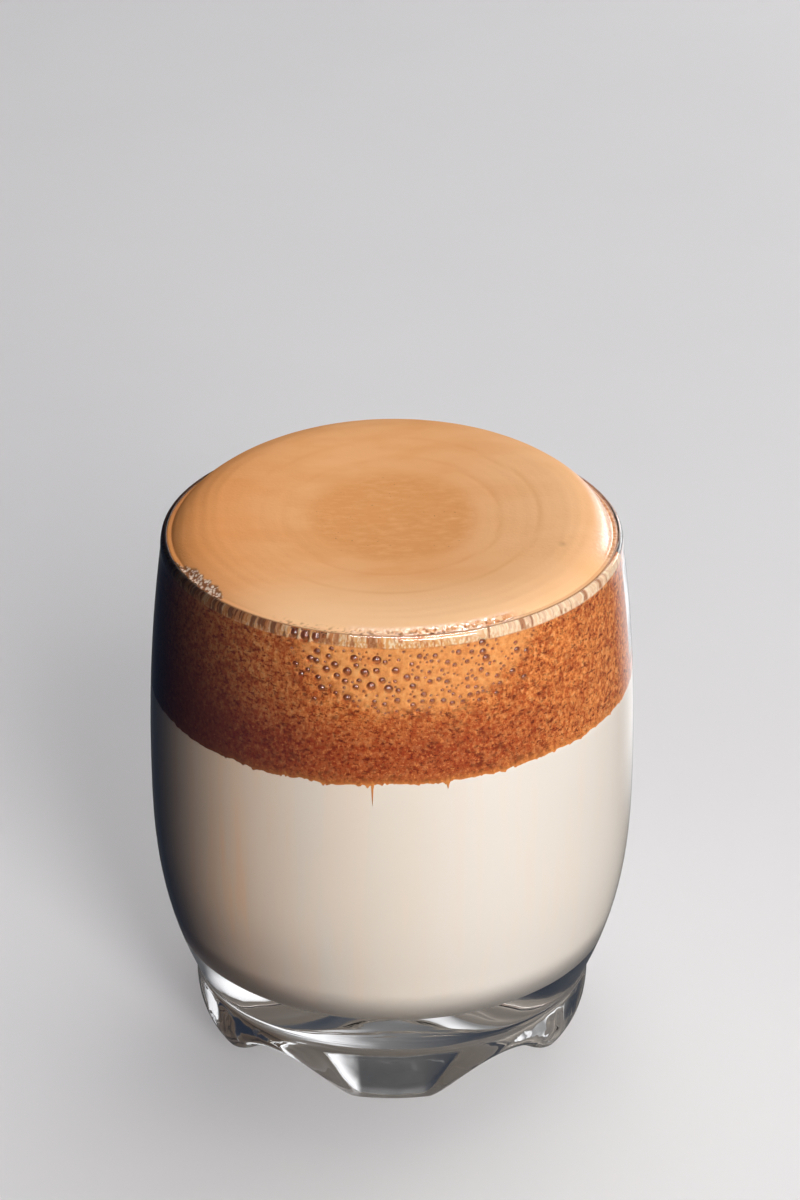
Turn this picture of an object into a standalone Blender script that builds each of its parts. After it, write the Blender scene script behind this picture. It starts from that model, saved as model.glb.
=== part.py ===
"""A layered milk coffee in its glass: milk below, frothed coffee heaped over the rim above.

Metres, +Z up. The origin is on the surface that the glass stands on, on the glass's axis.
The front of the object faces -Y, and one of the five feet is at the front.
"""

import math

import bmesh
import bpy

MM = 0.001

# Driving dimensions, in millimetres
RIM_HEIGHT = 92.9
BELLY_RADIUS = 41.0
BELLY_HEIGHT = 50.0
RIM_RADIUS = 38.0
WAIST_RADIUS = 35.4
WAIST_HEIGHT = 14.9
UPPER_CURVE = 2.1
LOWER_CURVE = 2.7
WALL = 1.25
RIM_BEAD_HEIGHT = 2.4
RIM_BEAD_SWELL = 0.15
CAVITY_FLOOR = 15.7
CAVITY_TURN = 28.0
CAVITY_CURVE = 2.4
SKIRT_TOP = 10.0
BASE_UNDERSIDE = 6.3
BASE_CROWN = 0.7
FOOT_COUNT = 5
FOOT_HALF_ANGLE = math.radians(12.0)
FOOT_OUTER_RADIUS = 29.4
FOOT_INNER_RADIUS = 23.0
HEEL_HEIGHT = 0.35
ARCH_CURVE = 1.3
LAYER_HEIGHT = 67.25
LAYER_TILT = 0.0275
TOP_RISE = 2.0
TOP_TILT = 0.088
TOP_LEAN = 0.011
TOP_DISH = 0.002
TOP_EDGE_POWER = 9.7
TOP_EDGE_CURVE = 0.82
GAP = 0.3

# The skirt below the waist: how far inside the waist's radius, at what height
SKIRT_INSETS = ((0.75, 13.2), (1.2, 11.6), (1.3, SKIRT_TOP), (1.3, 7.6), (1.6, 5.2), (2.3, 3.0), (3.6, 1.2))

# The recess under the base: how far inside the foot's inner radius, at what height
RECESS_INSETS = ((1.2, 1.0), (2.2, 3.4), (3.8, 5.7), (6.0, BASE_UNDERSIDE))

# The rings of the froth's top, as shares of its radius: close together where its edge rounds over
TOP_RINGS = (0.985, 0.965, 0.94, 0.91, 0.87, 0.82, 0.74, 0.6, 0.45, 0.3, 0.15, 0.0)

# Facets round the axis: a multiple of 20, so that the extremes fall on corners and each foot is alike
SEGMENTS = 80


def clear_scene():
    for obj in list(bpy.data.objects):
        bpy.data.objects.remove(obj, do_unlink=True)


def outer_radius(z):
    """The barrel's outer radius at a height: fullest at the belly, drawn in to the rim and to the waist."""
    if z > BELLY_HEIGHT:
        share = (z - BELLY_HEIGHT) / (RIM_HEIGHT - BELLY_HEIGHT)
        return BELLY_RADIUS - (BELLY_RADIUS - RIM_RADIUS) * share**UPPER_CURVE
    share = (BELLY_HEIGHT - z) / (BELLY_HEIGHT - WAIST_HEIGHT)
    return BELLY_RADIUS - (BELLY_RADIUS - WAIST_RADIUS) * share**LOWER_CURVE


def heights(low, high, count):
    return [low + (high - low) * i / count for i in range(count + 1)]


def cavity_profile(inset, top, wall_rings):
    """(radius, z) from the middle of the cavity's floor up its wall to a height, moved inwards by inset."""
    turn_radius = outer_radius(CAVITY_TURN) - WALL - inset
    floor = CAVITY_FLOOR + inset
    points = [(0.0, floor)]
    steps = 8
    for i in range(1, steps):
        angle = 0.5 * math.pi * i / steps
        radius = turn_radius * math.sin(angle) ** (2 / CAVITY_CURVE)
        z = CAVITY_TURN - (CAVITY_TURN - floor) * math.cos(angle) ** (2 / CAVITY_CURVE)
        points.append((radius, z))
    for z in heights(CAVITY_TURN, top, wall_rings):
        points.append((outer_radius(z) - WALL - inset, z))
    return points


def bead_radius(z):
    """The outer radius in the rim's bead, which swells a little past the wall's line."""
    share = (z - RIM_HEIGHT + RIM_BEAD_HEIGHT) / RIM_BEAD_HEIGHT
    return outer_radius(z) + RIM_BEAD_SWELL * math.sin(math.pi * share)


def rim_profile():
    """(radius, z) over the fire-polished rim and down its bead, from the inner wall to the outer one."""
    centre_z = RIM_HEIGHT - 0.5 * WALL
    inner = outer_radius(centre_z) - WALL
    centre = 0.5 * (inner + bead_radius(centre_z))
    steps = 6
    points = []
    for i in range(1, steps):
        angle = math.pi * (1 - i / steps)
        points.append((centre + (centre - inner) * math.cos(angle), centre_z + 0.5 * WALL * math.sin(angle)))
    for z in reversed(heights(RIM_HEIGHT - RIM_BEAD_HEIGHT, centre_z, 3)):
        points.append((bead_radius(z), z))
    return points


def foot_profile():
    """(radius, z) from the waist down the skirt, under the foot and across the recessed underside."""
    skirt = [(WAIST_RADIUS - inset, z) for inset, z in SKIRT_INSETS]
    heel_radius = 0.5 * (skirt[-1][0] + FOOT_OUTER_RADIUS)
    recess = [(FOOT_INNER_RADIUS - inset, z) for inset, z in RECESS_INSETS]
    crown = [
        (0.4 * FOOT_INNER_RADIUS, BASE_UNDERSIDE + 0.8 * BASE_CROWN),
        (0.0, BASE_UNDERSIDE + BASE_CROWN),
    ]
    foot = [(heel_radius, HEEL_HEIGHT), (FOOT_OUTER_RADIUS, 0.0), (FOOT_INNER_RADIUS, 0.0)]
    return skirt + foot + recess + crown


def turned(name, profile):
    """A closed solid: a profile of (radius, z) spun once round the axis, its two ends on the axis."""
    bm = bmesh.new()
    verts = [bm.verts.new((0.0, -radius * MM, z * MM)) for radius, z in profile]
    edges = [bm.edges.new(pair) for pair in zip(verts, verts[1:])]
    bmesh.ops.spin(
        bm,
        geom=verts + edges,
        axis=(0.0, 0.0, 1.0),
        cent=(0.0, 0.0, 0.0),
        angle=2 * math.pi,
        steps=SEGMENTS,
        use_merge=True,
    )
    bmesh.ops.remove_doubles(bm, verts=bm.verts, dist=1e-6)
    bmesh.ops.recalc_face_normals(bm, faces=bm.faces)
    mesh = bpy.data.meshes.new(name)
    bm.to_mesh(mesh)
    bm.free()
    mesh.shade_smooth()
    mesh.set_sharp_from_angle(angle=math.radians(50))
    obj = bpy.data.objects.new(name, mesh)
    bpy.context.scene.collection.objects.link(obj)
    return obj


def arch_height(x, y):
    """How far the skirt's lower edge is off the surface here: 0 under a foot, full midway between two."""
    pitch = 2 * math.pi / FOOT_COUNT
    turn = math.atan2(x, -y) % pitch
    from_foot = min(turn, pitch - turn)
    if from_foot <= FOOT_HALF_ANGLE:
        return 0.0
    share = (from_foot - FOOT_HALF_ANGLE) / (0.5 * pitch - FOOT_HALF_ANGLE)
    return BASE_UNDERSIDE * math.sin(0.5 * math.pi * share) ** ARCH_CURVE


def raise_arches(obj):
    """Lifts the skirt's edge between the feet, which leaves five feet standing."""
    edge_radius = 0.5 * (FOOT_OUTER_RADIUS + FOOT_INNER_RADIUS)
    for vert in obj.data.vertices:
        x, y, z = vert.co
        radius = math.hypot(x, y) / MM
        top = SKIRT_TOP if radius > edge_radius else BASE_UNDERSIDE
        if z / MM < top - 1e-3:
            vert.co.z += arch_height(x, y) * MM * (1 - z / MM / top)


def tilt_layer(obj, level):
    """Tips the face where milk and froth meet: higher on +X."""
    for vert in obj.data.vertices:
        if abs(vert.co.z - level * MM) < 1e-6:
            vert.co.z += LAYER_TILT * vert.co.x


def add_material(obj, name, colour, roughness, transmission=0.0):
    material = bpy.data.materials.new(name)
    material.use_nodes = True
    shader = material.node_tree.nodes["Principled BSDF"]
    shader.inputs["Base Color"].default_value = (*colour, 1.0)
    shader.inputs["Roughness"].default_value = roughness
    shader.inputs["Metallic"].default_value = 0.0
    shader.inputs["Transmission Weight"].default_value = transmission
    obj.data.materials.append(material)


def build_tumbler():
    profile = cavity_profile(0.0, RIM_HEIGHT - 0.5 * WALL, 7)
    profile += rim_profile()
    wall = heights(WAIST_HEIGHT, RIM_HEIGHT - RIM_BEAD_HEIGHT, 11)[:-1]
    profile += [(outer_radius(z), z) for z in reversed(wall)]
    profile += foot_profile()
    tumbler = turned("tumbler", profile)
    raise_arches(tumbler)
    add_material(tumbler, "clear_glass", (0.95, 0.96, 0.97), 0.02, transmission=1.0)
    return tumbler


def build_milk():
    top = LAYER_HEIGHT - 0.5 * GAP
    profile = cavity_profile(GAP, top, 5)
    profile += [(0.5 * profile[-1][0], top), (0.0, top)]
    milk = turned("milk", profile)
    tilt_layer(milk, top)
    add_material(milk, "milk", (0.78, 0.68, 0.56), 0.35)
    return milk


def froth_rise(x, y, base_radius):
    """How far the froth's top is over the rim here, in millimetres: a smoothed top, higher at the back."""
    radius = math.hypot(x, y)
    edge = max(0.0, 1 - (radius / base_radius) ** TOP_EDGE_POWER) ** TOP_EDGE_CURVE
    return edge * (TOP_RISE + TOP_TILT * y + TOP_LEAN * x + TOP_DISH * radius**2)


def raise_top(obj, base_radius):
    """Lifts the flat top, which starts at the rim's height, to the froth's heaped form."""
    for vert in obj.data.vertices:
        if vert.co.z > (RIM_HEIGHT - 1e-3) * MM:
            rise = froth_rise(vert.co.x / MM, vert.co.y / MM, base_radius)
            vert.co.z = (RIM_HEIGHT + rise) * MM


def build_coffee_foam():
    bottom = LAYER_HEIGHT + 0.5 * GAP
    side = [(outer_radius(z) - WALL - GAP, z) for z in heights(bottom, RIM_HEIGHT, 4)]
    base_radius = side[-1][0]
    profile = [(0.0, bottom), (0.5 * side[0][0], bottom)]
    profile += side + [(base_radius * share, RIM_HEIGHT) for share in TOP_RINGS]
    foam = turned("coffee_foam", profile)
    tilt_layer(foam, bottom)
    raise_top(foam, base_radius)
    add_material(foam, "coffee_foam", (0.62, 0.32, 0.14), 0.6)
    return foam


clear_scene()
build_tumbler()
build_milk()
build_coffee_foam()
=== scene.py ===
"""The looks of a layered milk coffee in its glass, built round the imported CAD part.

Lengths are in millimetres until a mesh is made, where they become metres. The materials work in metres.
An azimuth of 0 faces -Y, the front, and grows towards +X.
"""

import math

import bmesh
import bpy
import numpy as np
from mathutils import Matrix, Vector


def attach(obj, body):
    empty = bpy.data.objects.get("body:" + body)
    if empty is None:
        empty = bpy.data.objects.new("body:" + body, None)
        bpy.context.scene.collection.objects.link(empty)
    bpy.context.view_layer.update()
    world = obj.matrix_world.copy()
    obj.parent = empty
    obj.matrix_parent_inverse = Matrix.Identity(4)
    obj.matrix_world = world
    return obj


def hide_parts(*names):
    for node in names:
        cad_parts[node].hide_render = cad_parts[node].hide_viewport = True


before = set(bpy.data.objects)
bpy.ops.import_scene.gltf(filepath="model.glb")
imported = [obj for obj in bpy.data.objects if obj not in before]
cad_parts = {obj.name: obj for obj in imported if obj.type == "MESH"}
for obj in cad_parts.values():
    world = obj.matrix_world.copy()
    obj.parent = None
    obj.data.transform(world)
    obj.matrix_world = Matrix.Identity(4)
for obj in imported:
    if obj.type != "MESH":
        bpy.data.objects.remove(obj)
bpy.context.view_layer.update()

MM = 0.001

# The solids' own sizes, as in the CAD
RIM_HEIGHT = 92.9
BELLY_RADIUS = 41.0
BELLY_HEIGHT = 50.0
RIM_RADIUS = 38.0
WAIST_RADIUS = 35.4
WAIST_HEIGHT = 14.9
UPPER_CURVE = 2.1
LOWER_CURVE = 2.7
WALL = 1.25
RIM_BEAD_HEIGHT = 2.4
RIM_BEAD_SWELL = 0.15
CAVITY_FLOOR = 15.7
CAVITY_TURN = 28.0
CAVITY_CURVE = 2.4
SKIRT_TOP = 10.0
BASE_UNDERSIDE = 6.3
BASE_CROWN = 0.7
FOOT_COUNT = 5
FOOT_HALF_ANGLE = math.radians(12.0)
FOOT_OUTER_RADIUS = 29.4
FOOT_INNER_RADIUS = 23.0
HEEL_HEIGHT = 0.35
ARCH_CURVE = 1.3
LAYER_HEIGHT = 67.25
LAYER_TILT = 0.0275
TOP_RISE = 2.0
TOP_TILT = 0.088
TOP_LEAN = 0.011
TOP_DISH = 0.002
TOP_EDGE_POWER = 9.7
TOP_EDGE_CURVE = 0.82
SKIRT_INSETS = ((0.75, 13.2), (1.2, 11.6), (1.3, SKIRT_TOP), (1.3, 7.6), (1.6, 5.2), (2.3, 3.0), (3.6, 1.2))
RECESS_INSETS = ((1.2, 1.0), (2.2, 3.4), (3.8, 5.7), (6.0, BASE_UNDERSIDE))

# How far the drink reaches into the glass's wall, so that no air shows between them
MILK_REACH = 0.05
FRINGE_REACH = 0.09
FROTH_REACH = 0.04

# Where the band of coarse froth behind the lip begins, and how far round the lip froth climbs, in degrees
BAND_HEIGHT = 90.8
LIP_CONTACT = 78.0

# The field of bubbles at the front: its middle and half its width in degrees, its top and depth
FIELD_MIDDLE = 6.0
FIELD_HALF = 28.5
FIELD_TOP = 91.0
FIELD_DEPTH = 11.3

# Radii that turn an azimuth into a place along the wall: in general, within a bubble and between bubbles
WALL_RADIUS = 39.0
BUBBLE_RADIUS = 38.7
FIELD_RADIUS = 38.5

# The froth side's rows are level between these heights, and follow its ragged edge below them
LEVEL_FROM = 79.0
LEVEL_TO = 91.2

# The froth top's outermost ring, and the gap that the CAD leaves between the froth and the wall
TOP_EDGE_RADIUS = 37.42
GAP = 0.3

# The camera, fitted to the glass's outline in the photo, whose pixels are counted from its top left
PHOTO_WIDTH = 800
PHOTO_HEIGHT = 1200
PHOTO_SHIFT = 8
PHOTO_FOCUS = 3892
SENSOR_WIDTH = 36.0
CAMERA_ELEVATION = math.radians(27.77)
CAMERA_DISTANCE = 650.0
AIM_HEIGHT = 79.7

# The same camera's place in round numbers, from which the marks below are traced onto the wall
PHOTO_EYE = (0.0, -575.1, 382.5)
GLASS_IOR = 1.5

# The largest bubbles, read off two enlarged crops of the photo: across, down and width in its pixels
ENLARGED = 6
LEFT_CROP = (150, 600)
RIGHT_CROP = (400, 560)
LEFT_MARKS = (
    (960, 352, 50), (995, 365, 45), (1000, 308, 45), (1068, 340, 40), (1105, 390, 50), (1053, 418, 50),
    (1222, 352, 50), (1233, 395, 36), (1180, 430, 58), (1118, 455, 45), (1285, 437, 58), (1357, 428, 42),
    (1360, 362, 60), (1408, 376, 34), (1390, 487, 46), (1472, 424, 48), (1168, 492, 42), (1232, 525, 42),
    (1325, 520, 58), (1252, 485, 34), (1025, 530, 52), (1005, 465, 42), (942, 420, 36), (905, 445, 36),
    (1430, 535, 58), (1487, 545, 36), (1577, 520, 42), (1602, 470, 36), (1180, 590, 55), (1110, 558, 30),
    (1345, 612, 30), (1483, 606, 40), (1405, 627, 30), (1577, 632, 36), (982, 595, 34), (1085, 290, 34),
    (870, 385, 44),
)
RIGHT_MARKS = (
    (118, 580, 34), (70, 628, 32), (40, 708, 46), (180, 732, 36), (232, 716, 32), (282, 734, 34),
    (143, 808, 38), (193, 848, 34), (262, 846, 36), (315, 858, 34), (285, 615, 36), (327, 630, 30),
    (212, 575, 34), (352, 552, 38), (430, 552, 34), (493, 492, 46), (498, 548, 46), (520, 588, 52),
    (490, 657, 36), (525, 688, 30), (585, 695, 34), (677, 667, 44), (602, 740, 32), (403, 713, 30),
    (408, 762, 30), (459, 765, 30), (420, 808, 34), (477, 842, 30), (580, 798, 32), (402, 608, 30),
    (705, 540, 44), (760, 545, 36), (748, 700, 36),
)

# The bubbles that bulge into the band at the left: azimuth in degrees, height and radius
BAND_BUBBLES = ((-24.6, 91.5, 0.75), (-21.8, 91.3, 0.9), (-19.0, 91.4, 0.75), (-16.8, 91.9, 0.45))

# The threads of froth that run down the wall: azimuth in degrees, length and half width
THREADS = (
    (-16, 0.5, 0.25), (-5.6, 0.5, 0.3), (-4.5, 4.3, 0.13), (13.0, 1.5, 0.2), (12.6, 0.45, 0.4),
    (-34, 0.4, 0.3), (27, 0.4, 0.3), (41, 0.35, 0.3), (160, 1.0, 0.8), (-120, 0.9, 0.8),
)

# The world's light at the right, above the horizon and below it, and at the left
WORLD_LIGHT = 0.34
GROUND_LIGHT = 0.14
DARK_LIGHT = 0.04

# The lamps: azimuth and elevation in degrees, distance, width and height in metres, radiance, and what they
# light: matt surfaces, glossy ones or both
LAMPS = {
    "key": (20, 24, 1.1, 0.30, 0.9, 13.2, "matt"),
    "right": (70, 24, 1.1, 0.6, 0.8, 0.8, "matt"),
    "right_gloss": (70, 24, 1.1, 0.6, 0.8, 2.0, "gloss"),
    "top": (160, 68, 1.3, 1.1, 1.0, 1.7, "matt"),
    "rear": (146, 13, 1.1, 0.5, 0.4, 4.5, "both"),
    "bounce": (68, -50, 0.9, 1.0, 1.0, 0.33, "matt"),
    "window": (24, 38, 1.1, 0.6, 0.5, 30.0, "gloss"),
    "glint": (174, 62, 1.1, 0.3, 0.2, 45.0, "gloss"),
    "spark_left": (-6, 4, 1.1, 0.25, 0.2, 230.0, "gloss"),
    "spark_right": (34, 4, 1.1, 0.25, 0.2, 230.0, "gloss"),
}


def outer_radius(z):
    """The barrel's outer radius at a height or at an array of heights."""
    z = np.asarray(z, float)
    up = np.clip((z - BELLY_HEIGHT) / (RIM_HEIGHT - BELLY_HEIGHT), 0, None)
    down = np.clip((BELLY_HEIGHT - z) / (BELLY_HEIGHT - WAIST_HEIGHT), 0, None)
    upper = BELLY_RADIUS - (BELLY_RADIUS - RIM_RADIUS) * up**UPPER_CURVE
    lower = BELLY_RADIUS - (BELLY_RADIUS - WAIST_RADIUS) * down**LOWER_CURVE
    return np.where(z > BELLY_HEIGHT, upper, lower)


def smooth(low, high, value):
    share = np.clip((value - low) / (high - low), 0, 1)
    return share * share * (3 - 2 * share)


def lattice(i, j, k, seed):
    """A fixed pseudo-random number from 0 to 1 for each whole-number point."""
    n = i * 374761393 + j * 668265263 + k * 1442695041 + seed * 974634777
    n = (n ^ (n >> 13)) * 1274126177
    return ((n ^ (n >> 16)) & 0xFFFF) / 65535.0


def noise(points, size, seed):
    """Smooth value noise from 0 to 1 over (n, 3) points; size is one cell, a number or one for each axis."""
    q = points / np.asarray(size, float) + 512.0
    cell = np.floor(q).astype(np.int64)
    f = q - cell
    f = f * f * (3 - 2 * f)
    total = np.zeros(len(q))
    for a in (0, 1):
        for b in (0, 1):
            for c in (0, 1):
                weight = np.abs(1 - a - f[:, 0]) * np.abs(1 - b - f[:, 1]) * np.abs(1 - c - f[:, 2])
                total += weight * lattice(cell[:, 0] + a, cell[:, 1] + b, cell[:, 2] + c, seed)
    return total


def grid_object(name, x, y, z, end_low, end_high):
    """A closed mesh from (rows, columns) grids of points in millimetres, each row a ring round the axis.

    Both ends close on a point of the axis at the given heights, the first below row 0 in path order.
    """
    rows, columns = x.shape
    points = np.stack([x, y, z], axis=2).reshape(-1, 3)
    points = np.vstack([points, [[0, 0, end_low], [0, 0, end_high]]]) * MM
    row, column = np.meshgrid(np.arange(rows - 1), np.arange(columns), indexing="ij")
    after = (column + 1) % columns
    start, above = row * columns, (row + 1) * columns
    quads = np.stack([start + column, start + after, above + after, above + column], axis=2).reshape(-1, 4)
    first, last = rows * columns, rows * columns + 1
    ring = np.arange(columns)
    turn = (ring + 1) % columns
    low_fan = np.stack([np.full(columns, first), turn, ring], axis=1)
    top = (rows - 1) * columns
    high_fan = np.stack([np.full(columns, last), top + ring, top + turn], axis=1)
    mesh = bpy.data.meshes.new(name)
    mesh.from_pydata(points.tolist(), [], quads.tolist() + low_fan.tolist() + high_fan.tolist())
    bm = bmesh.new()
    bm.from_mesh(mesh)
    bmesh.ops.recalc_face_normals(bm, faces=bm.faces)
    bm.to_mesh(mesh)
    bm.free()
    mesh.shade_smooth()
    obj = bpy.data.objects.new(name, mesh)
    bpy.context.scene.collection.objects.link(obj)
    return obj


def even_turns(count):
    return np.arange(count) * 2 * math.pi / count


def lathe_grids(profile, turns):
    """The (rows, columns) grids of radius and height of a profile turned through the azimuths."""
    profile = np.asarray(profile, float)
    radius = np.repeat(profile[:, :1], len(turns), axis=1)
    height = np.repeat(profile[:, 1:], len(turns), axis=1)
    return radius, height


def spaced(low, high, count):
    return np.linspace(low, high, count + 1)


def cavity_points(inset, top, steps, wall_rings):
    """(radius, z) from near the middle of the cavity's floor up its wall, moved inwards by inset."""
    turn_radius = float(outer_radius(CAVITY_TURN)) - WALL - inset
    floor = CAVITY_FLOOR + inset
    angle = 0.5 * math.pi * np.arange(1, steps) / steps
    radius = turn_radius * np.sin(angle) ** (2 / CAVITY_CURVE)
    height = CAVITY_TURN - (CAVITY_TURN - floor) * np.cos(angle) ** (2 / CAVITY_CURVE)
    wall = spaced(CAVITY_TURN, top, wall_rings)
    return list(zip(radius, height)) + list(zip(outer_radius(wall) - WALL - inset, wall))


def bead_radius(z):
    share = (z - RIM_HEIGHT + RIM_BEAD_HEIGHT) / RIM_BEAD_HEIGHT
    return outer_radius(z) + RIM_BEAD_SWELL * np.sin(math.pi * share)


def smoothed(points, rounds):
    """The path with each corner cut that many times, its two ends kept."""
    points = np.asarray(points, float)
    for _ in range(rounds):
        near = 0.75 * points[:-1] + 0.25 * points[1:]
        far = 0.25 * points[:-1] + 0.75 * points[1:]
        cut = np.stack([near, far], axis=1).reshape(-1, 2)
        points = np.vstack([points[:1], cut[1:-1], points[-1:]])
    return points


def arch_height(azimuth):
    pitch = 2 * math.pi / FOOT_COUNT
    turn = azimuth % pitch
    from_foot = np.minimum(turn, pitch - turn)
    share = np.clip((from_foot - FOOT_HALF_ANGLE) / (0.5 * pitch - FOOT_HALF_ANGLE), 0, 1)
    return BASE_UNDERSIDE * np.sin(0.5 * math.pi * share) ** ARCH_CURVE


def build_tumbler():
    turns = even_turns(320)
    inner = cavity_points(0.0, RIM_HEIGHT - 0.5 * WALL, 16, 28)
    centre_z = RIM_HEIGHT - 0.5 * WALL
    inner_radius = float(outer_radius(centre_z)) - WALL
    centre = 0.5 * (inner_radius + float(bead_radius(centre_z)))
    lip_angle = math.pi * (1 - np.arange(1, 14) / 14)
    lip_radius = centre + (centre - inner_radius) * np.cos(lip_angle)
    lip = list(zip(lip_radius, centre_z + 0.5 * WALL * np.sin(lip_angle)))
    bead_z = spaced(centre_z, RIM_HEIGHT - RIM_BEAD_HEIGHT, 9)
    bead = list(zip(bead_radius(bead_z), bead_z))
    wall_z = spaced(RIM_HEIGHT - RIM_BEAD_HEIGHT, WAIST_HEIGHT, 34)[1:]
    wall = list(zip(outer_radius(wall_z), wall_z))
    skirt = [(WAIST_RADIUS - inset, z) for inset, z in SKIRT_INSETS]
    heel = [(0.5 * (skirt[-1][0] + FOOT_OUTER_RADIUS), HEEL_HEIGHT)]
    edge_radius = 0.5 * (FOOT_OUTER_RADIUS + FOOT_INNER_RADIUS)
    foot = [(FOOT_OUTER_RADIUS, 0.0), (edge_radius, 0.0), (FOOT_INNER_RADIUS, 0.0)]
    recess = [(FOOT_INNER_RADIUS - inset, z) for inset, z in RECESS_INSETS]
    crown = [(0.4 * FOOT_INNER_RADIUS, BASE_UNDERSIDE + 0.8 * BASE_CROWN), (1.5, BASE_UNDERSIDE + BASE_CROWN)]
    base = smoothed([wall[-1]] + skirt + heel + foot + recess + crown, 2)
    profile = inner + lip + bead + wall[:-1] + base.tolist()
    radius, height = lathe_grids(profile, turns)
    top = np.where(radius > edge_radius, SKIRT_TOP, BASE_UNDERSIDE)
    below = (height < top - 1e-3) & (np.arange(len(profile))[:, None] > len(inner) + len(lip))
    lift = arch_height(turns)[None, :] * np.clip(1 - height / top, 0, 1)
    height = np.where(below, height + lift, height)
    x, y = radius * np.sin(turns), -radius * np.cos(turns)
    tumbler = grid_object("glass_tumbler", x, y, height, CAVITY_FLOOR, BASE_UNDERSIDE + BASE_CROWN)
    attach(tumbler, "root")
    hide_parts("tumbler")
    tumbler.visible_diffuse = False
    return tumbler


def build_milk():
    turns = even_turns(240)
    top = LAYER_HEIGHT + 0.9
    profile = cavity_points(-MILK_REACH, top, 20, 40)
    radius, height = lathe_grids(profile, turns)
    radius = np.vstack([radius, 0.9 * radius[-1:], 0.5 * radius[-1:]])
    height = np.vstack([height, height[-1:], height[-1:]])
    height = height + np.where(height > top - 0.01, LAYER_TILT * radius * np.sin(turns), 0)
    rim_row = len(profile) - 1
    radius[rim_row] = outer_radius(height[rim_row]) - WALL + MILK_REACH
    x, y = radius * np.sin(turns), -radius * np.cos(turns)
    milk = grid_object("milk_body", x, y, height, CAVITY_FLOOR - MILK_REACH, top)
    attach(milk, "root")
    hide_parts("milk")
    return milk


def columns(bands):
    """Azimuths all round, from bands of (first degree, last degree, spacing on the wall)."""
    parts = []
    for low, high, step in bands:
        count = int(math.radians(high - low) * WALL_RADIUS / step)
        parts.append(np.radians(np.linspace(low, high, count, endpoint=False)))
    return np.concatenate(parts)


def on_wall(azimuth, z):
    return np.stack([WALL_RADIUS * np.sin(azimuth), -WALL_RADIUS * np.cos(azimuth), z], axis=-1)


def field_low(across):
    """The lower edge of the field of bubbles, for a place from -1 to 1 across it."""
    return FIELD_TOP - FIELD_DEPTH * (1 - np.clip(np.abs(across), 0, 1) ** 2.5)


def meet_wall(start, ray, inset):
    """Where a ray from outside meets the barrel's wall, or a line that far inside it."""
    near, far = 0.0, -(start[:2] @ ray[:2]) / (ray[:2] @ ray[:2])
    for _ in range(60):
        middle = 0.5 * (near + far)
        x, y, z = start + ray * middle
        if math.hypot(x, y) > outer_radius(z) - inset:
            near = middle
        else:
            far = middle
    return start + ray * far


def wall_normal(point):
    """The outward normal of the barrel's outer wall."""
    x, y, z = point
    step = 1e-3
    slope = (outer_radius(z + step) - outer_radius(z - step)) / (2 * step)
    normal = np.array([x, y, -slope * math.hypot(x, y)])
    return normal / np.linalg.norm(normal)


def marked_bubble(across, down, width):
    """(azimuth, z, radius) on the inner wall of a bubble in the photo. Its ray bends at the outer wall."""
    forward = np.array([0.0, math.cos(CAMERA_ELEVATION), -math.sin(CAMERA_ELEVATION)])
    up = np.array([0.0, math.sin(CAMERA_ELEVATION), math.cos(CAMERA_ELEVATION)])
    ray = forward * PHOTO_FOCUS + up * (0.5 * PHOTO_HEIGHT - down)
    ray[0] = across - 0.5 * PHOTO_WIDTH + PHOTO_SHIFT
    ray /= np.linalg.norm(ray)
    outside = meet_wall(np.array(PHOTO_EYE), ray, 0.0)
    normal = wall_normal(outside)
    lean = -(normal @ ray)
    bent = (ray + lean * normal) / GLASS_IOR - math.sqrt(1 - (1 - lean**2) / GLASS_IOR**2) * normal
    inside = meet_wall(outside, bent, WALL)
    depth = CAMERA_DISTANCE + (inside - [0.0, 0.0, AIM_HEIGHT]) @ forward
    azimuth = math.degrees(math.atan2(inside[0], -inside[1]))
    return azimuth, float(inside[2]), 0.5 * width * depth / PHOTO_FOCUS


def marked_bubbles():
    """The marks as (azimuth in degrees, z, radius), largest first, in steps finer than they were read in."""
    bubbles = []
    for (left, top), marks in ((LEFT_CROP, LEFT_MARKS), (RIGHT_CROP, RIGHT_MARKS)):
        for across, down, width in marks:
            bubbles.append(marked_bubble(left + across / ENLARGED, top + down / ENLARGED, width / ENLARGED))
    bubbles.sort(key=lambda bubble: -bubble[2])
    return [(round(azimuth, 1), round(z, 1), round(float(radius), 2)) for azimuth, z, radius in bubbles]


def bubble_list():
    """All the bubbles as (azimuth, z, radius): the marked ones, then smaller ones drawn between them."""
    rng = np.random.default_rng(11)
    placed = [(math.radians(a), z, r) for a, z, r in marked_bubbles() + list(BAND_BUBBLES)]
    for small, large, count, clear, spill in ((0.26, 0.38, 110, 0.12, 1.05), (0.16, 0.26, 320, 0.08, 1.15)):
        made = 0
        while made < count:
            across = rng.uniform(-1.1, 1.1)
            azimuth = math.radians(FIELD_MIDDLE + FIELD_HALF * across)
            z = rng.uniform(78.5, 90.6)
            radius = rng.uniform(small, large)
            made += 1
            if z < field_low(across / spill) - 0.4:
                continue
            if all(math.hypot((azimuth - a) * FIELD_RADIUS, z - h) > radius + r + clear for a, h, r in placed):
                placed.append((azimuth, z, radius))
    return placed


def layer_line(azimuth):
    """The froth's lower edge on the wall, without its threads: the tilted layer with small teeth."""
    points = on_wall(azimuth, 0 * azimuth)
    ragged = 0.5 * (noise(points, 5.0, 23) - 0.5) + 0.4 * (noise(points, 1.2, 21) - 0.5)
    teeth = 0.5 * smooth(0.45, 0.95, noise(points, 0.38, 22)) * noise(points, 1.7, 24)
    return LAYER_HEIGHT + LAYER_TILT * points[..., 0] + ragged - teeth


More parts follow.
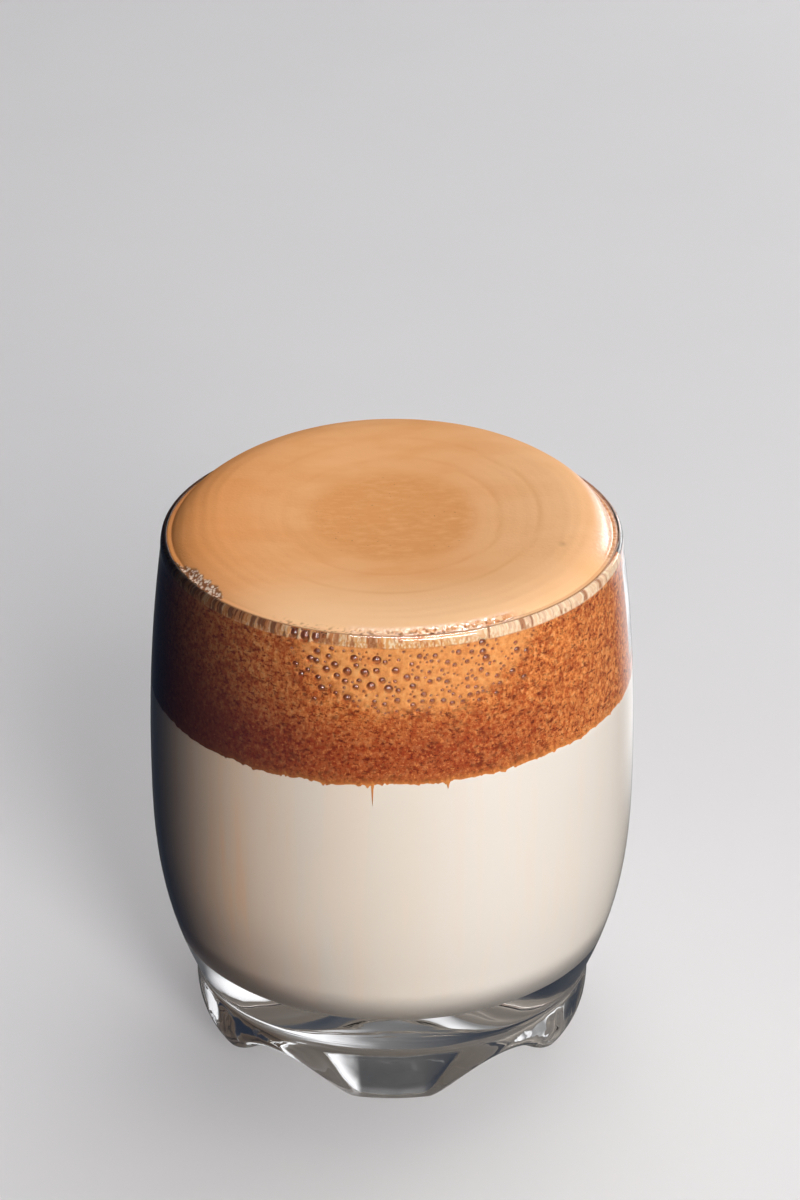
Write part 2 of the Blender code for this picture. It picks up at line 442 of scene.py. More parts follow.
def threads(azimuth):
    """How far threads of froth run down the wall below the edge."""
    turn = (azimuth + math.pi) % (2 * math.pi) - math.pi
    drop = 0 * turn
    for degrees, length, width in THREADS:
        along = (turn - math.radians(degrees)) * WALL_RADIUS
        drop = np.maximum(drop, length * np.exp(-((along / width) ** 2)))
    return drop


def froth_depth(azimuth, z, line):
    """How far the froth's side lies inside the wall's line, with masks for its colours and for the painted
    shade in its bubbles.
    """
    turn = (azimuth + math.pi) % (2 * math.pi) - math.pi
    points = on_wall(azimuth, z).reshape(-1, 3)

    def field(size, seed):
        return noise(points, size, seed).reshape(z.shape)

    across = (np.degrees(turn) - FIELD_MIDDLE) / FIELD_HALF
    ragged = 1.6 * (field(1.4, 3) - 0.5)
    above_low = z + 1.6 * ragged - field_low(0.85 * across)
    sideways = np.where(across > 0, 0.92, 1.0) * np.abs(across) + 0.1 * ragged
    zone = smooth(-1.2, 2.6, above_low) * (1 - smooth(0.80, 1.15, sideways))
    zone = zone * (1 - smooth(BAND_HEIGHT - 0.2, BAND_HEIGHT + 0.2, z))
    coarse = field((1.3, 1.3, 0.8), 1)
    medium = field((0.7, 0.7, 0.42), 2)
    fine = field((0.45, 0.45, 0.3), 4)
    low = 1 - smooth(70.0, 78.0, z)
    pits = smooth(0.64, 0.80, 0.3 * coarse + 0.45 * medium + 0.35 * fine + 0.03 * low)
    above = z - line
    fringe = 1 - smooth(1.9, 2.9, above)
    facing = 1 - smooth(38, 48, np.abs(np.degrees(turn)))
    pits = pits * (1 - 0.85 * zone) * (1 - smooth(BAND_HEIGHT - 0.5, BAND_HEIGHT, z)) * facing
    band = smooth(BAND_HEIGHT, BAND_HEIGHT + 0.25, z + 0.25 * (medium - 0.5))
    to_left = 1 - smooth(-26, -4, np.degrees(turn))
    strokes = 0.6 * field((0.55, 0.55, 5.0), 41) + 0.4 * field((0.9, 0.9, 1.6), 42) + 0.15 * to_left
    cell = smooth(0.60, 0.70, strokes) * band
    depth = 0.05 * pits + 0.04 * (fine - 0.5) + 0.03 * cell - 1.8 * FROTH_REACH
    bubble = np.zeros_like(z)
    shade = np.zeros_like(z)
    for centre_turn, centre_z, radius in bubble_list():
        dx = (turn - centre_turn) * BUBBLE_RADIUS
        dz = z - centre_z
        near = (np.abs(dx) < 1.3 * radius) & (np.abs(dz) < 1.3 * radius)
        rho = np.hypot(dx[near], dz[near]) / radius
        bowl = 0.9 * np.sqrt(np.clip(1 - rho**2, 0, 1))
        depth[near] = np.maximum(depth[near], (radius * bowl - FROTH_REACH) * (rho < 1))
        # The bubble mask paints each bowl dark brown: partly the film's own browner colour, partly painted
        # shade in the hollow. The shade mask paints its upper part darker still, as painted shade.
        bubble[near] = np.maximum(bubble[near], smooth(1.04, 0.9, rho))
        shade[near] = np.maximum(shade[near], smooth(1.0, 0.85, rho) * smooth(-0.55, 0.2, dz[near] / radius))
    gap = smooth(77, 84, np.degrees(turn)) * (1 - smooth(104, 122, np.degrees(turn)))
    depth = depth + 0.15 * gap
    depth = depth * (1 - fringe) + (0.02 * pits - FRINGE_REACH) * fringe
    masks = {
        "zone": zone,
        "pits": pits,
        "bubble": bubble,
        "shade": shade,
        "cell": cell,
        "fringe": np.exp(-np.clip(above, 0, None) / 0.55),
    }
    return depth, masks


def set_masks(obj, masks):
    for name, values in masks.items():
        attribute = obj.data.attributes.new(name, "FLOAT", "POINT")
        attribute.data.foreach_set("value", np.asarray(values, np.float32))


def build_froth_side():
    """The froth below the rim: its ragged lower edge, its side against the wall and its turn over the lip."""
    turns = columns(((-60, -27, 0.4), (-27, 38, 0.13), (38, 80, 0.26), (80, 300, 1.0)))
    line = layer_line(turns)
    drop = threads(turns)
    rise = np.linspace(0, 1, 42)[:-1] ** 1.15
    lip_z = RIM_HEIGHT - 0.5 * WALL
    upper = np.concatenate([spaced(LEVEL_FROM, LEVEL_TO, 88), spaced(LEVEL_TO, lip_z, 7)[1:]])
    lower = line + rise[:, None] * (LEVEL_FROM - line)
    thread = line - drop * np.array([[1.0], [0.66], [0.33]])
    z = np.vstack([thread, lower, np.repeat(upper[:, None], len(turns), axis=1)])
    azimuth = np.repeat(turns[None, :], len(z), axis=0)
    depth, masks = froth_depth(azimuth, z, line)
    radius = outer_radius(z) - WALL - depth
    inner = float(outer_radius(lip_z)) - WALL
    centre = 0.5 * (inner + float(bead_radius(lip_z)))
    angle = np.radians(np.linspace(0, LIP_CONTACT, 8)[1:])[:, None]
    reach = FROTH_REACH * np.ones_like(turns)
    lip_r = centre - (centre - inner - reach) * np.cos(angle)
    lip_height = lip_z + (0.5 * WALL - reach) * np.sin(angle)
    radius = np.vstack([0.4 * radius[:1], radius[:1] - 1.0, radius, lip_r, lip_r[-1:] - 1.5])
    z = np.vstack([z[:1], z[:1], z, lip_height, lip_height[-1:] - 0.3])
    x, y = radius * np.sin(turns), -radius * np.cos(turns)
    side = grid_object("froth_side", x, y, z, LAYER_HEIGHT, RIM_HEIGHT - 1.5)
    whole = {}
    for name, grid in masks.items():
        grid = np.vstack([grid[:1], grid[:1], grid] + [grid[-1:]] * 7 + [0 * grid[-1:]])
        whole[name] = np.append(grid.reshape(-1), [0, 0])
    set_masks(side, whole)
    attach(side, "root")
    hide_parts("coffee_foam")
    return side


def build_bubbles():
    """The wet film of each bubble: a small smooth bead in its bowl in the froth, just behind the glass."""
    steps, around = 8, 14
    polar = math.pi * np.arange(1, steps) / steps
    turn = 2 * math.pi * np.arange(around) / around
    ball = [(0, 0, 1)]
    for p in polar:
        ball += [(math.sin(p) * math.cos(a), math.sin(p) * math.sin(a), math.cos(p)) for a in turn]
    ball = np.array(ball + [(0, 0, -1)])
    faces = [(0, 1 + a, 1 + (a + 1) % around) for a in range(around)]
    for ring in range(steps - 2):
        low, high = 1 + ring * around, 1 + (ring + 1) * around
        faces += [(low + a, high + a, high + (a + 1) % around, low + (a + 1) % around) for a in range(around)]
    last, base = len(ball) - 1, 1 + (steps - 2) * around
    faces += [(last, base + (a + 1) % around, base + a) for a in range(around)]
    verts, polygons, shade = [], [], []
    for azimuth, z, radius in bubble_list():
        size, thick = 0.86 * radius, 0.5 * radius
        wall = float(outer_radius(z)) - WALL - thick - 0.02
        out = np.array([math.sin(azimuth), -math.cos(azimuth), 0.0])
        across = np.array([math.cos(azimuth), math.sin(azimuth), 0.0])
        centre = out * wall + np.array([0, 0, z])
        flat = ball[:, 0:1] * across + ball[:, 1:2] * np.array([0, 0, 1.0])
        local = size * flat + thick * ball[:, 2:3] * out
        start = len(verts)
        verts += (centre + local).tolist()
        polygons += [tuple(start + i for i in face) for face in faces]
        shade += ball[:, 1].tolist()
    mesh = bpy.data.meshes.new("froth_bubbles")
    mesh.from_pydata((np.array(verts) * MM).tolist(), [], polygons)
    mesh.shade_smooth()
    bubbles = bpy.data.objects.new("froth_bubbles", mesh)
    bpy.context.scene.collection.objects.link(bubbles)
    # The upper mask is each bead's height within itself, for painted shade at its top and painted light at its
    # bottom.
    set_masks(bubbles, {"upper": np.array(shade)})
    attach(bubbles, "root")
    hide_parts("coffee_foam")
    return bubbles


def top_rise(x, y, base_radius):
    radius = np.hypot(x, y)
    edge = np.clip(1 - (radius / base_radius) ** TOP_EDGE_POWER, 0, 1) ** TOP_EDGE_CURVE
    return edge * (TOP_RISE + TOP_TILT * y + TOP_LEAN * x + TOP_DISH * radius**2)


def build_froth_top():
    """The froth over the rim: its smoothed, swirled top, with the wet pitted edge where it meets the lip."""
    turns = columns(((-76, -44, 0.28), (-44, -14, 0.3), (-14, 27, 0.16), (27, 284, 0.9)))
    lip_z = RIM_HEIGHT - 0.5 * WALL
    foam_radius = float(outer_radius(RIM_HEIGHT)) - WALL - GAP
    steps = [spaced(0, 0.7, 5), spaced(0.7, 2.9, 17)[1:], spaced(2.9, 8.0, 14)[1:], spaced(8.0, 36.4, 40)[1:]]
    inset = np.concatenate(steps)
    radius = np.repeat((TOP_EDGE_RADIUS - inset)[:, None], len(turns), axis=1)
    x, y = radius * np.sin(turns), -radius * np.cos(turns)
    turn = np.degrees((turns + math.pi) % (2 * math.pi) - math.pi)[None, :] + 0 * radius
    points = np.stack([x, y, 0 * x], axis=2).reshape(-1, 3)

    def field(size, seed):
        return noise(points, size, seed).reshape(x.shape)

    lip_edge = lip_z + (0.5 * WALL - FROTH_REACH) * math.sin(math.radians(LIP_CONTACT))
    inside = TOP_EDGE_RADIUS - radius
    z = lip_edge + 0.12 * smooth(0, 0.5, inside) + top_rise(x, y, foam_radius)
    wobble = field(9.0, 31) - 0.5
    bent = radius + 1.5 * wobble
    rings = 0.022 * np.sin(bent * 3.1) + 0.02 * np.sin(bent * 1.3 + 1)
    rings = rings + 0.02 * (field((3.5, 1.2, 1), 34) - 0.5)
    grooves = np.exp(-(((bent - 18.0) / 0.35) ** 2)) + np.exp(-(((bent - 24.3) / 0.3) ** 2))
    swirl = 1 - smooth(11.2, 16.0, bent)
    ripple = 0.03 * (field((2.4, 1.1, 1), 33) - 0.5) + 0.012 * np.sin(bent * 5.0)
    calm = smooth(0.8, 3.0, inside)
    relief = rings * (1 - 0.5 * swirl) - 0.05 * grooves + swirl * ripple - 0.05 * swirl
    z = z - 0.11 * calm + calm * relief - 0.03
    dimple = np.exp(-(((x - 27.7) ** 2 + (y + 10.7) ** 2) / 0.55**2))
    wet = (0.4 * smooth(-13, -8, turn) + 0.6 * smooth(-2, 8, turn)) * (1 - smooth(28, 36, turn))
    wet = wet * smooth(2.6, 1.2, inside) * smooth(0.25, 0.5, inside)
    bumps = field(0.6, 35) + 0.5 * field(0.3, 36) - 0.75
    near_front = smooth(-34, -22, turn) * (1 - smooth(26, 40, turn))
    pits = smooth(0.74, 0.84, field(0.34, 37) + 0.12 * field(2.0, 38)) * smooth(1.9, 0.7, inside) * near_front
    pits = pits * smooth(0.28, 0.42, inside)
    width = 1.9 * smooth(-74, -62, turn) * (1 - smooth(-51, -46, turn)) + 0.7 * (field(0.9, 39) - 0.5)
    patch = smooth(0.15, -0.15, inside - width) * (turn > -75) * (turn < -44)
    z = z - 0.12 * dimple + 0.3 * bumps * wet - 0.16 * pits - patch * (0.12 + 0.2 * (field(0.5, 40) - 0.5))
    far_right = smooth(66, 80, turn) * (1 - smooth(105, 125, turn)) * smooth(4.5, 1.0, inside)
    top = grid_object("froth_top", x, y, z, RIM_HEIGHT - 2.0, RIM_HEIGHT + TOP_RISE - 0.08)
    masks = {
        "swirl": swirl,
        "dark": np.clip(pits + 0.4 * dimple, 0, 1),
        "wet": np.clip(wet + far_right, 0, 1),
        "patch": patch,
        # line: a thin ring at the lip, for painted shade in that crease, partly a ring of coffee.
        "line": smooth(0.34, 0.22, inside),
        "groove": grooves * calm,
    }
    set_masks(top, {name: np.append(grid.reshape(-1), [0, 0]) for name, grid in masks.items()})
    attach(top, "root")
    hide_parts("coffee_foam")
    return top


class Graph:
    """A material's nodes, made and linked in one call each."""

    def __init__(self, name):
        self.material = bpy.data.materials.new(name)
        self.material.use_nodes = True
        self.tree = self.material.node_tree
        self.shader = self.tree.nodes["Principled BSDF"]

    def put(self, socket, value):
        if isinstance(value, bpy.types.NodeSocket):
            self.tree.links.new(value, socket)
        else:
            socket.default_value = value

    def add(self, kind, inputs=None, **settings):
        node = self.tree.nodes.new("ShaderNode" + kind)
        for key, value in settings.items():
            setattr(node, key, value)
        for key, value in (inputs or {}).items():
            self.put(node.inputs[key], value)
        return node

    def set(self, **inputs):
        for key, value in inputs.items():
            self.put(self.shader.inputs[key.replace("_", " ")], value)

    def mask(self, name):
        return self.add("Attribute", attribute_name=name).outputs["Fac"]

    def axis(self, letter):
        place = self.add("TexCoord").outputs["Object"]
        return self.add("SeparateXYZ", {0: place}).outputs[letter]

    def ramp(self, value, low, high):
        """0 below low and 1 above high, or the other way round if low is above high."""
        limits = {"Value": value, "From Min": low, "From Max": high}
        node = self.add("MapRange", limits, interpolation_type="SMOOTHSTEP")
        if low > high:
            node.inputs["From Min"].default_value = high
            node.inputs["From Max"].default_value = low
            node.inputs["To Min"].default_value = 1.0
            node.inputs["To Max"].default_value = 0.0
        return node.outputs[0]

    def place(self, size, stretch=(1, 1, 1)):
        """The place on the object, counted in steps of that many millimetres, longer where stretched."""
        place = self.add("TexCoord").outputs["Object"]
        scale = tuple(1 / (size * MM * s) for s in stretch)
        return self.add("VectorMath", {0: place, 1: scale}, operation="MULTIPLY").outputs[0]

    def noise(self, size, detail=3.0, roughness=0.55, stretch=(1, 1, 1)):
        """Noise from 0 to 1 whose features are about that many millimetres across."""
        inputs = {"Vector": self.place(size, stretch), "Scale": 1.0, "Detail": detail, "Roughness": roughness}
        return self.add("TexNoise", inputs).outputs["Fac"]

    def cells(self, size):
        """The distance from the middle of the nearest cell, in a packing of cells of that many millimetres."""
        return self.add("TexVoronoi", {"Vector": self.place(size), "Scale": 1.0}).outputs["Distance"]

    def mix(self, share, first, second):
        node = self.add("Mix", data_type="RGBA")
        self.put(node.inputs["Factor"], share)
        for socket, value in ((node.inputs[6], first), (node.inputs[7], second)):
            self.put(socket, (*value, 1.0) if isinstance(value, tuple) else value)
        return node.outputs[2]

    def maths(self, operation, first, second=0.0):
        return self.add("Math", {0: first, 1: second}, operation=operation).outputs[0]


def glass_material():
    g = Graph("clear_glass_look")
    foot = g.maths("MULTIPLY", g.noise(4.5, 1.0), g.ramp(g.axis("Z"), 0.0130, 0.0095))
    height = g.maths("ADD", g.maths("MULTIPLY", g.noise(11, 1.0), 0.15), g.maths("MULTIPLY", foot, 0.6))
    ripple = g.add("Bump", {"Height": height, "Strength": 1.0, "Distance": 0.0004})
    g.set(Base_Color=(1.0, 1.0, 1.0, 1.0), Roughness=0.0, Normal=ripple.outputs[0])
    g.set(IOR=GLASS_IOR, Transmission_Weight=1.0)
    path = g.add("LightPath")
    facing = g.add("LayerWeight", {"Blend": 0.5}).outputs["Facing"]
    passed = g.maths("SUBTRACT", 0.96, g.maths("POWER", facing, 5.0))
    clear = g.add("BsdfTransparent", {"Color": passed})
    mixed = g.add("MixShader", {0: path.outputs["Is Shadow Ray"], 1: g.shader.outputs[0], 2: clear.outputs[0]})
    g.tree.links.new(mixed.outputs[0], g.tree.nodes["Material Output"].inputs["Surface"])
    return g.material


def milk_material():
    g = Graph("milk_look")
    cream = g.mix(g.ramp(g.axis("X"), -0.004, 0.02), (0.84, 0.73, 0.61), (0.84, 0.755, 0.665))
    # The milk turns warm towards the left: partly coffee stain in streaks, partly painted warm bounce light on
    # its shaded side.
    warm = (0.97, 0.65, 0.42)
    to_left = g.ramp(g.axis("X"), -0.010, -0.029)
    streak = g.ramp(g.noise(2.2, 3.0, 0.55, (1, 1, 14)), 0.42, 0.72)
    stain_and_warm_bounce = g.maths("ADD", g.maths("MULTIPLY", to_left, 0.62), g.maths("MULTIPLY", streak, 0.10))
    stain_and_warm_bounce = g.maths("ADD", stain_and_warm_bounce, g.maths("MULTIPLY", g.maths("MULTIPLY", streak, to_left), 0.2))
    wide = g.ramp(g.noise(4.5, 2.0, 0.5, (1, 1, 12)), 0.46, 0.68)
    wide = g.maths("MULTIPLY", wide, g.ramp(g.axis("X"), 0.014, -0.012))
    stain_and_warm_bounce = g.maths("ADD", stain_and_warm_bounce, g.maths("MULTIPLY", wide, 0.15))
    colour = g.mix(stain_and_warm_bounce, cream, warm)
    front = g.ramp(g.axis("Y"), 0.010, -0.012)
    # Painted shade: the milk darker towards the bottom at the front left.
    lower = g.maths("MULTIPLY", g.ramp(g.axis("Z"), 0.042, 0.020), front)
    lower = g.maths("MULTIPLY", lower, g.ramp(g.axis("X"), 0.002, -0.026))
    colour = g.mix(g.maths("MULTIPLY", lower, 0.6), colour, (0.40, 0.30, 0.24))
    # Painted shade: the milk darker again at the far left edge.
    edge = g.maths("MULTIPLY", g.ramp(g.axis("X"), -0.024, -0.037), front)
    colour = g.mix(g.maths("MULTIPLY", edge, 0.45), colour, (0.42, 0.30, 0.25))
    g.set(Base_Color=colour, Roughness=0.4, Specular_IOR_Level=0.05)
    return g.material


def froth_side_material():
    g = Graph("coffee_froth_side_look")
    height = g.axis("Z")
    matrix = (0.90, 0.375, 0.115)
    orange = (0.76, 0.245, 0.062)
    middle = (0.50, 0.105, 0.026)
    pale = (0.90, 0.42, 0.15)
    deep = (0.26, 0.035, 0.012)
    fleck_and_shade = (0.09, 0.012, 0.008)
    low = g.maths("MULTIPLY", g.ramp(height, 0.083, 0.072), g.ramp(g.axis("X"), 0.036, 0.010))
    # Painted shade: the side is darkened on the left front, reaching less far round higher up.
    over = g.maths("MULTIPLY", g.maths("MAXIMUM", g.maths("SUBTRACT", height, 0.072), 0.0), 0.35)
    to_left = g.ramp(g.maths("ADD", g.axis("X"), over), -0.002, -0.034)
    to_left = g.maths("MULTIPLY", to_left, g.ramp(g.axis("Y"), 0.020, 0.0))
    grain = g.noise(0.85, 4.0, 0.72, (1, 1, 1.15))
    blots = g.noise(1.9, 3.0, 0.65, (1.2, 1.2, 1.0))
    cracks = g.noise(1.0, 4.0, 0.62, (1.6, 1.6, 0.7))
    broad = g.noise(6.0, 2.0, 0.5)
    side = g.mix(g.ramp(grain, 0.46, 0.60), orange, middle)
    side = g.mix(g.maths("MULTIPLY", g.ramp(grain, 0.46, 0.36), 0.7), side, pale)
    side = g.mix(g.maths("MULTIPLY", g.ramp(blots, 0.50, 0.66), 0.5), side, deep)
    side = g.mix(g.maths("MULTIPLY", low, 0.66), side, (0.30, 0.032, 0.012))
    side = g.mix(g.maths("MULTIPLY", g.ramp(broad, 0.45, 0.75), 0.2), side, deep)
    side = g.mix(g.maths("MULTIPLY", g.ramp(cracks, 0.585, 0.64), 0.85), side, (0.17, 0.022, 0.010))
    specks = g.noise(0.55, 3.0, 0.7)
    side = g.mix(g.maths("MULTIPLY", g.ramp(specks, 0.56, 0.63), 0.7), side, fleck_and_shade)
    side = g.mix(g.maths("MULTIPLY", g.ramp(specks, 0.44, 0.36), 0.5), side, (0.88, 0.34, 0.09))
    side = g.mix(g.maths("MULTIPLY", g.mask("pits"), 0.6), side, fleck_and_shade)
    calm = g.mix(g.maths("MULTIPLY", g.ramp(grain, 0.48, 0.64), 0.6), matrix, (0.70, 0.20, 0.05))
    calm = g.mix(g.maths("MULTIPLY", g.ramp(grain, 0.46, 0.36), 0.4), calm, (0.90, 0.50, 0.21))
    side = g.mix(g.maths("MULTIPLY", g.mask("zone"), 0.9), side, calm)
    # Painted shade in the bubbles: their bowls dark brown, partly the film's own colour, and their upper parts
    # darker still.
    side = g.mix(g.maths("MULTIPLY", g.mask("bubble"), 0.7), side, (0.22, 0.045, 0.016))
    side = g.mix(g.maths("MULTIPLY", g.mask("shade"), 0.5), side, fleck_and_shade)
    side = g.mix(g.maths("MULTIPLY", g.mask("fringe"), 0.7), side, (0.82, 0.32, 0.08))
    # Painted shade: near-black navy on the left front.
    side = g.mix(g.maths("MULTIPLY", to_left, 0.86), side, (0.085, 0.027, 0.030))
    spots = g.noise(0.40, 3.0, 0.65, (1, 1, 1.7))
    cream = g.mix(g.ramp(spots, 0.42, 0.62), (0.80, 0.38, 0.13), (0.96, 0.76, 0.50))
    strokes = g.noise(0.8, 3.0, 0.65, (1, 1, 3))
    cream = g.mix(g.maths("MULTIPLY", g.ramp(strokes, 0.52, 0.60), 0.85), cream, (0.62, 0.20, 0.055))
    brown = g.mix(g.ramp(spots, 0.3, 0.7), (0.28, 0.085, 0.040), (0.54, 0.20, 0.07))
    # Partly the froth's own tone, partly painted shade towards the left and painted light towards the right.
    cream = g.mix(g.maths("MULTIPLY", g.ramp(g.axis("X"), 0.0, -0.022), 0.6), cream, (0.46, 0.18, 0.065))
    cream = g.mix(g.maths("MULTIPLY", g.ramp(g.axis("X"), 0.006, 0.022), 0.5), cream, (0.97, 0.80, 0.60))
    band = g.mix(g.maths("MULTIPLY", g.mask("cell"), 0.85), cream, brown)
    bars = g.ramp(g.noise(0.95, 2.0, 0.6, (1, 1, 4)), 0.50, 0.58)
    bars = g.maths("MULTIPLY", bars, g.ramp(g.axis("X"), -0.007, -0.017))
    band = g.mix(g.maths("MULTIPLY", bars, 0.8), band, (0.13, 0.045, 0.028))
    # Painted shade: near-black at the far left.
    band = g.mix(g.maths("MULTIPLY", g.ramp(g.axis("X"), -0.022, -0.033), 0.6), band, (0.10, 0.045, 0.030))
    side = g.mix(g.ramp(height, 0.0907, 0.0910), side, band)
    bump = g.add("Bump", {"Height": grain, "Strength": 0.3, "Distance": 0.0002})
    g.set(Base_Color=side, Roughness=0.65, Specular_IOR_Level=0.0, Normal=bump.outputs[0])
    return g.material


def bubble_material():
    g = Graph("bubble_film_look")
    # Painted shade and light on the beads: dark brown at the top, lighter at the bottom.
    tone = g.mix(g.ramp(g.mask("upper"), -0.75, 0.35), (0.64, 0.225, 0.070), (0.20, 0.043, 0.015))
    tone = g.mix(g.maths("MULTIPLY", g.ramp(g.noise(0.6, 2.0), 0.4, 0.7), 0.35), tone, (0.42, 0.12, 0.04))
    # Painted shade: the beads darker towards the left.
    tone = g.mix(g.maths("MULTIPLY", g.ramp(g.axis("X"), 0.0, -0.022), 0.5), tone, (0.09, 0.02, 0.014))
    g.set(Base_Color=tone, Roughness=0.15, Specular_IOR_Level=0.6)
    return g.material


def froth_top_material():
    g = Graph("coffee_froth_top_look")
    tan = (0.80, 0.405, 0.178)
    darker = (0.76, 0.360, 0.142)
    # The light tone is painted light, laid on the front and the right below.
    light = (0.92, 0.565, 0.308)
    centre = (0.71, 0.315, 0.110)
    brown = (0.22, 0.070, 0.024)
    top = g.mix(g.ramp(g.noise(7, 3.0, 0.5, (1.6, 0.7, 1)), 0.35, 0.7), tan, darker)
    # Painted light on the front and the right, and painted shade on the left.
    top = g.mix(g.maths("MULTIPLY", g.ramp(g.axis("Y"), -0.014, -0.034), 0.9), top, light)
    top = g.mix(g.maths("MULTIPLY", g.ramp(g.axis("X"), 0.004, 0.032), 0.5), top, light)
    top = g.mix(g.maths("MULTIPLY", g.ramp(g.axis("X"), -0.012, -0.036), 0.8), top, (0.72, 0.28, 0.085))
    mottle = g.noise(1.3, 4.0, 0.6, (1.8, 0.8, 1))
    share = g.maths("MULTIPLY", g.mask("swirl"), g.ramp(mottle, 0.10, 0.66))
    top = g.mix(share, top, centre)
    top = g.mix(g.maths("MULTIPLY", g.mask("groove"), 0.35), top, centre)
    speck = g.ramp(g.noise(0.45, 1.0), 0.74, 0.80)
    top = g.mix(g.maths("MULTIPLY", speck, g.maths("MULTIPLY", g.mask("swirl"), 0.7)), top, brown)
    froth = g.mix(g.ramp(g.cells(0.55), 0.62, 0.30), (0.30, 0.12, 0.055), (0.80, 0.62, 0.48))
    top = g.mix(g.mask("patch"), top, froth)
    wet_spots = g.maths("MULTIPLY", g.mask("wet"), g.ramp(g.noise(0.7, 2.0), 0.40, 0.58))
    top = g.mix(wet_spots, top, (0.66, 0.25, 0.085))
    top = g.mix(g.maths("MULTIPLY", g.mask("dark"), 0.85), top, brown)
    # Painted shade in the crease where the froth meets the lip, partly a thin ring of coffee.
    top = g.mix(g.mask("line"), top, (0.26, 0.085, 0.03))
    rough = g.add("MapRange", {"Value": g.mask("wet"), "To Min": 0.5, "To Max": 0.10})
    bump = g.add("Bump", {"Height": g.noise(0.5, 3.0), "Strength": 0.2, "Distance": 0.0002})
    g.set(Base_Color=top, Roughness=rough.outputs[0], Specular_IOR_Level=g.mask("wet"), Normal=bump.outputs[0])
    return g.material


def floor_material():
    g = Graph("pale_floor")
    tone = g.mix(g.noise(60, 3.0), (0.705, 0.69, 0.695), (0.735, 0.72, 0.725))
    g.set(Base_Color=tone, Roughness=0.8)
    return g.material


def build_floor():
    """A plain pale floor. It is neither mirrored nor seen in the glass, which it would otherwise veil."""
    mesh = bpy.data.meshes.new("floor")
    half = 6.0
    corners = [(-half, -half, 0), (half, -half, 0), (half, half, 0), (-half, half, 0)]
    mesh.from_pydata(corners, [], [(0, 1, 2, 3)])
    floor = bpy.data.objects.new("floor", mesh)
    bpy.context.scene.collection.objects.link(floor)
    floor.data.materials.append(floor_material())
    floor.visible_diffuse = False
    floor.visible_glossy = False
    floor.visible_transmission = False
    floor.visible_shadow = False


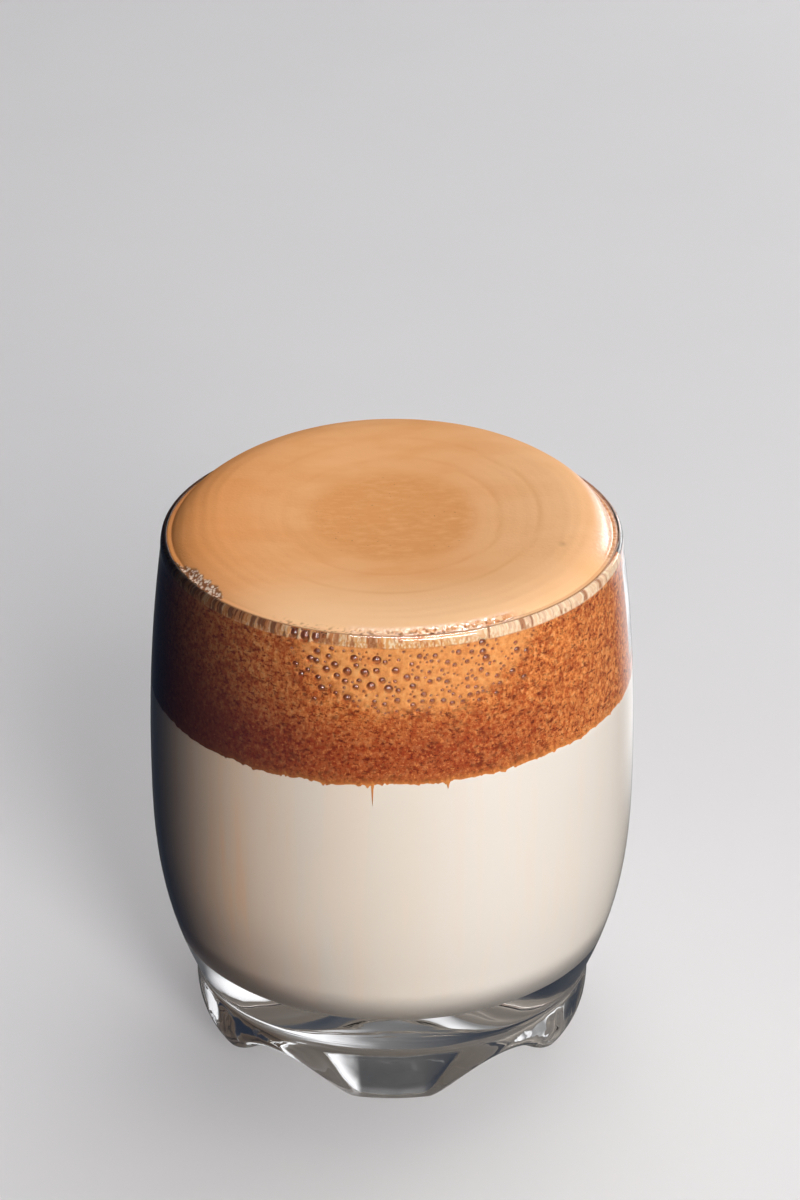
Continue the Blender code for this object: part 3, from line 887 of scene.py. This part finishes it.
def build_world():
    """Soft light from the right, next to none from the left, and a plain pale tone for the camera."""
    world = bpy.data.worlds.new("studio")
    world.use_nodes = True
    tree = world.node_tree
    back = tree.nodes["Background"]

    def add(kind, inputs=None, **settings):
        node = tree.nodes.new("ShaderNode" + kind)
        for key, value in settings.items():
            setattr(node, key, value)
        for key, value in (inputs or {}).items():
            if isinstance(value, bpy.types.NodeSocket):
                tree.links.new(value, node.inputs[key])
            else:
                node.inputs[key].default_value = value
        return node

    split = add("SeparateXYZ", {0: add("TexCoord").outputs["Generated"]})

    def ramp(socket, low, high, start, end):
        limits = {"Value": socket, "From Min": low, "From Max": high, "To Min": start, "To Max": end}
        return add("MapRange", limits, interpolation_type="SMOOTHSTEP").outputs[0]

    def maths(operation, first, second):
        return add("Math", {0: first, 1: second}, operation=operation).outputs[0]

    above = ramp(split.outputs["X"], -0.45, 0.5, DARK_LIGHT, WORLD_LIGHT)
    below = ramp(split.outputs["X"], -0.5, 0.5, DARK_LIGHT, GROUND_LIGHT)
    low = ramp(split.outputs["Z"], -0.15, 0.0, 0, 1)
    light = add("Mix", {"Factor": low, 2: below, 3: above}, data_type="FLOAT").outputs[0]
    behind = ramp(split.outputs["Y"], 0.6, 0.85, 0, 1)
    behind = maths("MULTIPLY", ramp(split.outputs["X"], 0.02, 0.25, 0, 1), behind)
    behind = maths("MULTIPLY", behind, ramp(split.outputs["Z"], -0.53, -0.48, 0, 1))
    light = maths("ADD", light, behind)
    path = add("LightPath")
    seen = add("Mix", {"Factor": path.outputs["Is Camera Ray"], 2: light, 3: 0.66}, data_type="FLOAT")
    tree.links.new(seen.outputs[0], back.inputs["Strength"])
    plain, navy = (0.98, 0.98, 1.0, 1.0), (0.33, 0.55, 1.0, 1.0)
    to_right = ramp(split.outputs["X"], -0.5, 0.0, 0, 1)
    colour = add("Mix", {"Factor": to_right, 6: navy, 7: plain}, data_type="RGBA").outputs[2]
    seen_colour = add("Mix", {"Factor": path.outputs["Is Camera Ray"], 6: colour, 7: plain}, data_type="RGBA")
    tree.links.new(seen_colour.outputs[2], back.inputs["Color"])
    bpy.context.scene.world = world


def add_lamp(name, azimuth, elevation, distance, width, height, radiance, lights):
    """A soft rectangular lamp aimed at the glass, given by its radiance.

    The sparks are sampled as lamps only, which keeps their small glints in the bubbles.
    """
    light = bpy.data.lights.new(name, "AREA")
    light.shape = "RECTANGLE"
    light.size = width
    light.size_y = height
    light.energy = radiance * math.pi * width * height
    light.cycles.use_multiple_importance_sampling = "spark" not in name
    lamp = bpy.data.objects.new(name, light)
    a, e = math.radians(azimuth), math.radians(elevation)
    back = np.array([math.sin(a) * math.cos(e), -math.cos(a) * math.cos(e), math.sin(e)])
    lamp.location = back * distance + np.array([0, 0, 0.06])
    lamp.rotation_euler = Vector(-back).to_track_quat("-Z", "Y").to_euler()
    lamp.visible_camera = False
    lamp.visible_transmission = False
    lamp.visible_glossy = lights != "matt"
    lamp.visible_diffuse = lights != "gloss"
    bpy.context.scene.collection.objects.link(lamp)


def build_camera():
    data = bpy.data.cameras.new("camera")
    data.sensor_width = SENSOR_WIDTH
    data.lens = PHOTO_FOCUS / PHOTO_HEIGHT * SENSOR_WIDTH
    data.shift_x = PHOTO_SHIFT / PHOTO_HEIGHT
    data.clip_start = 0.01
    camera = bpy.data.objects.new("camera", data)
    level, up = math.cos(CAMERA_ELEVATION), math.sin(CAMERA_ELEVATION)
    camera.location = (0, -CAMERA_DISTANCE * MM * level, AIM_HEIGHT * MM + CAMERA_DISTANCE * MM * up)
    camera.rotation_euler = (math.pi / 2 - CAMERA_ELEVATION, 0, 0)
    bpy.context.scene.collection.objects.link(camera)
    bpy.context.scene.camera = camera


build_tumbler().data.materials.append(glass_material())
build_milk().data.materials.append(milk_material())
build_froth_side().data.materials.append(froth_side_material())
build_froth_top().data.materials.append(froth_top_material())
build_bubbles().data.materials.append(bubble_material())
build_floor()
build_world()
for lamp_name, values in LAMPS.items():
    add_lamp(lamp_name, *values)
build_camera()
bpy.context.scene.view_settings.view_transform = "Standard"
